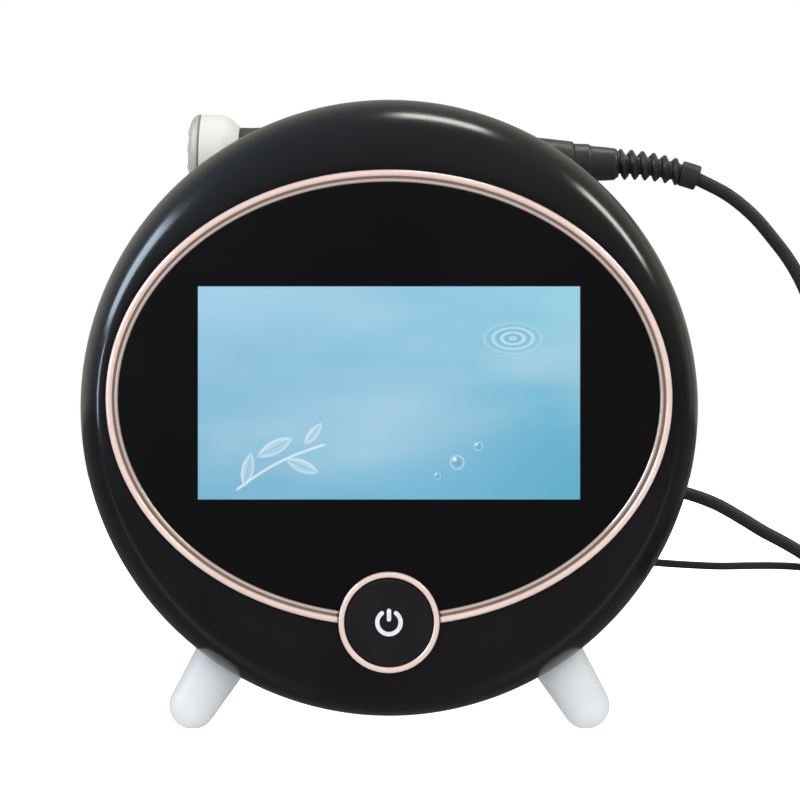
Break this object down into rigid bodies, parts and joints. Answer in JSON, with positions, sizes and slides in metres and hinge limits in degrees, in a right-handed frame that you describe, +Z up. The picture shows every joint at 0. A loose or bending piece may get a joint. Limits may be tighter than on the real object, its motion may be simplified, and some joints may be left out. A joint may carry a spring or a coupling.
{
  "type": "facial toning console with handpiece",
  "caption": "Round desktop facial toning console on splayed legs, with an oval display front, a power button and a corded handpiece in a rear cradle.",
  "frame": {"origin": "centre of the bottom of the console with its handpiece, on the surface it stands on", "axes": "+Z up, -Y towards the display side, +X to the right of someone who faces the display"},
  "size_m": [0.4425, 0.1574, 0.2613],
  "materials": {
    "shell_black": "gloss",
    "dome_black": "gloss",
    "frame_grey": "satin",
    "rose_gold": "satin",
    "cover_glass": "gloss",
    "film_black": "matte",
    "picture": "gloss",
    "display_grey": "satin",
    "sheet_metal": "satin",
    "steel": "satin",
    "ribbon": "satin",
    "button_black": "gloss",
    "symbol_white": "matte",
    "board_green": "satin",
    "part_black": "matte",
    "brass": "satin",
    "winding": "satin",
    "fin_aluminium": "satin",
    "can_blue": "gloss",
    "wire_grey": "matte",
    "wire_red": "matte",
    "leg_white": "satin",
    "cradle_black": "satin",
    "handle_black": "satin",
    "head_white": "gloss",
    "plate_grey": "gloss",
    "chrome": "polished",
    "relief_black": "matte",
    "socket_metal": "satin",
    "cord_black": "matte",
    "adapter_black": "matte"
  },
  "bodies": {
    "console": {"front_shell": "shell_black", "rear_shell": "dome_black", "front_frame": "frame_grey", "trim_ring": "rose_gold", "cover_glass": "cover_glass", "border_film": "film_black", "display_panel": "picture", "display_frame": "display_grey", "display_bracket": "sheet_metal", "bracket_screws": "steel", "display_ribbon": "ribbon", "button_bezel": "rose_gold", "button_switch": "part_black", "button_board": "board_green", "button_screws": "steel", "board_standoffs": "brass", "main_board": "board_green", "main_chips": "part_black", "board_screws": "steel", "power_board": "board_green", "power_board_screws": "steel", "transformer": "winding", "heat_sink": "fin_aluminium", "capacitors": "can_blue", "board_harness": "wire_grey", "output_wires": "wire_red", "loudspeaker": "part_black", "leg_left": "leg_white", "leg_right": "leg_white", "leg_rear": "leg_white", "leg_bolts": "steel", "housing_screws": "steel", "cradle": "cradle_black", "cradle_screws": "steel", "hand_socket": "socket_metal", "socket_nut": "steel", "supply_jack": "part_black", "jack_nut": "steel", "hand_plug": "socket_metal", "supply_plug": "part_black", "hand_cord_drop": "cord_black", "hand_cord_coil": "cord_black", "hand_cord_return": "cord_black", "supply_lead": "cord_black", "supply_lead_coil": "cord_black", "supply_lead_tail": "cord_black", "wall_adapter": "adapter_black", "adapter_pins": "chrome"},
    "power_button": {"button_cap": "button_black", "power_symbol": "symbol_white"},
    "handpiece": {"handle": "handle_black", "handpiece_board": "board_green", "head_bell": "head_white", "head_ring": "part_black", "electrode_plate": "plate_grey", "electrodes": "chrome", "handle_cap": "handle_black", "strain_relief": "relief_black"}
  },
  "joints": [
    {"name": "power_button_press", "type": "slide", "parent": "console", "child": "power_button", "axis": [0, 1, 0], "range_m": [0, 0.0012], "stiffness_N_per_m": 2500, "springref_m": -0.0006},
    {"name": "handpiece_lift", "type": "slide", "parent": "console", "child": "handpiece", "axis": [0, 0, 1], "range_m": [0, 0.05]}
  ]
}
